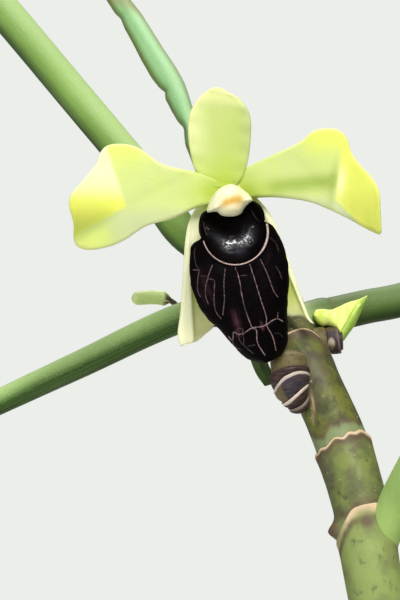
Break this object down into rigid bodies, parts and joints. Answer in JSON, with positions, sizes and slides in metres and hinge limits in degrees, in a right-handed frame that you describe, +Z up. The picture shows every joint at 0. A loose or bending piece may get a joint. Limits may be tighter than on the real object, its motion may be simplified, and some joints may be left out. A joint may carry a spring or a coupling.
{
  "type": "potted orchid",
  "caption": "Clump of an orchid with pencil-like leaves in a banded clay pot; one leaning shoot carries an open pale green bloom with a dark glossy lip.",
  "frame": {"origin": "middle of the pot's flat foot, on the surface it stands on", "axes": "+Z up, -Y is the side that the open bloom faces"},
  "size_m": [0.2118, 0.1668, 0.2749],
  "materials": {
    "clay": "matt fired clay",
    "bark": "rough bark chips",
    "shoot": "smooth waxy green",
    "root": "chalky grey-green",
    "petal": "soft pale yellow-green",
    "lip": "glossy dark maroon with pink veins",
    "cap": "cream with an orange blush",
    "bract": "dry maroon and tan scales",
    "bud": "fleshy bright lime"
  },
  "bodies": {
    "root": {"pot": "clay", "potting_mix": "bark", "shoot_1": "shoot", "shoot_2": "shoot", "shoot_3": "shoot", "shoot_4": "shoot", "shoot_5": "shoot", "shoot_6": "shoot", "root_1": "root", "root_2": "root", "root_3": "root", "root_4": "root", "root_5": "root", "root_6": "root", "sepals_petals": "petal", "lip": "lip", "column": "cap", "inflorescence_1": "bract", "inflorescence_2": "bract", "bud": "bud"}
  },
  "joints": []
}
